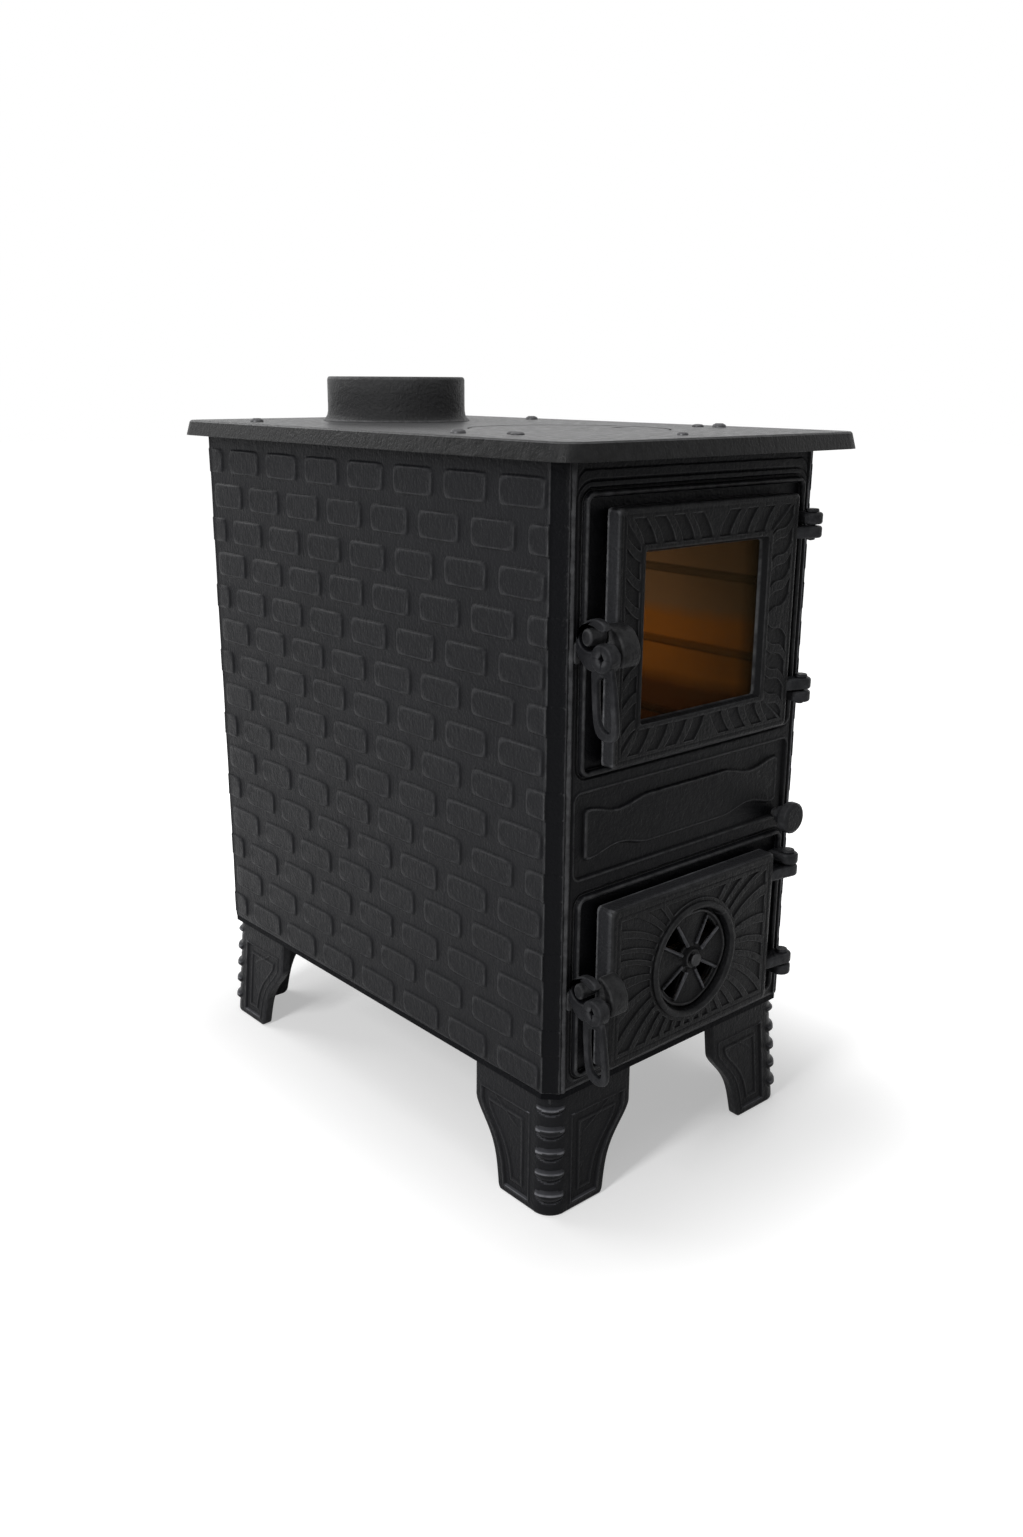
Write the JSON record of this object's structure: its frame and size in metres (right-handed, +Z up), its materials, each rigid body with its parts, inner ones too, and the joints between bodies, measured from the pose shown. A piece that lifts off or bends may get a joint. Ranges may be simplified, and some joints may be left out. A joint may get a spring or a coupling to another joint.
{
  "type": "wood stove",
  "caption": "Rectangular cast-iron wood stove with brick-relief sides, a glazed fire door over an ash door with a spinner damper, a wide hob plate and a round flue collar, on splayed legs.",
  "frame": {"origin": "centre of the bounding box in plan, on the floor under the feet", "axes": "+Z up, the fire door faces -Y, +X to the right seen from the front"},
  "size_m": [0.386, 0.6356, 0.7543],
  "materials": {
    "side_iron": "sand-cast, satin stove paint",
    "front_iron": "sand-cast, satin stove paint",
    "hob_iron": "smoother casting, satin stove paint",
    "inner_iron": "raw iron with a brown bloom",
    "steel": "dull zinc",
    "pan_steel": "dark paint",
    "amber_glass": "clear heat-resistant glass with an amber tint",
    "rope": "braided glass rope, dark"
  },
  "bodies": {
    "stove": {"left_side_panel": "side_iron", "right_side_panel": "side_iron", "base_plate": "front_iron", "leg_front_left": "side_iron", "leg_front_right": "side_iron", "leg_rear_right": "side_iron", "leg_rear_left": "side_iron", "leg_bolt_front_left": "steel", "leg_bolt_front_right": "steel", "leg_bolt_rear_right": "steel", "leg_bolt_rear_left": "steel", "front_plate": "front_iron", "back_plate": "side_iron", "hob_plate": "hob_iron", "flue_collar": "hob_iron", "hob_screw_1": "steel", "hob_screw_2": "steel", "hob_screw_3": "steel", "hob_screw_4": "steel", "grate_frame": "inner_iron", "left_liner": "inner_iron", "right_liner": "inner_iron", "back_liner": "inner_iron", "smoke_baffle": "inner_iron", "ash_pan": "pan_steel", "hinge_pin_upper_top": "steel", "hinge_pin_upper_foot": "steel", "hinge_pin_lower_top": "steel", "hinge_pin_lower_foot": "steel"},
    "fire_door": {"fire_door": "front_iron", "door_glass": "amber_glass", "glass_strip_top": "steel", "glass_strip_bottom": "steel", "fire_door_gasket": "rope", "upper_latch_pin": "steel"},
    "upper_lever": {"upper_latch_lever": "front_iron"},
    "ash_door": {"ash_door": "front_iron", "ash_door_gasket": "rope", "damper_seat": "front_iron", "spinner_bolt": "steel", "spinner_nut": "steel", "lower_latch_pin": "steel"},
    "lower_lever": {"lower_latch_lever": "front_iron"},
    "spinner": {"spinner_disc": "front_iron"},
    "shaker": {"shaker_grate": "inner_iron", "shaker_rod": "steel", "shaker_knob": "front_iron"},
    "lid": {"hob_lid": "hob_iron"}
  },
  "joints": [
    {"name": "fire_door_hinge", "type": "hinge", "parent": "stove", "child": "fire_door", "pos_m": [0.1406, -0.2812, 0.5433], "axis": [0, 0, 1], "range_deg": [0, 115]},
    {"name": "upper_lever_pivot", "type": "hinge", "parent": "fire_door", "child": "upper_lever", "pos_m": [-0.147, -0.2972, 0.5365], "axis": [-1, 0, 0], "range_deg": [0, 105]},
    {"name": "ash_door_hinge", "type": "hinge", "parent": "stove", "child": "ash_door", "pos_m": [0.1406, -0.2812, 0.2237], "axis": [0, 0, 1], "range_deg": [0, 115]},
    {"name": "lower_lever_pivot", "type": "hinge", "parent": "ash_door", "child": "lower_lever", "pos_m": [-0.147, -0.2972, 0.2194], "axis": [-1, 0, 0], "range_deg": [0, 105]},
    {"name": "spinner_turn", "type": "hinge", "parent": "ash_door", "child": "spinner", "pos_m": [-0.0038, -0.282, 0.2233], "axis": [0, -1, 0], "continuous": true},
    {"name": "shaker_slide", "type": "slide", "parent": "stove", "child": "shaker", "axis": [0, -1, 0], "range_m": [0, 0.025]},
    {"name": "lid_lift", "type": "slide", "parent": "stove", "child": "lid", "axis": [0, 0, 1], "range_m": [0, 0.04]}
  ]
}
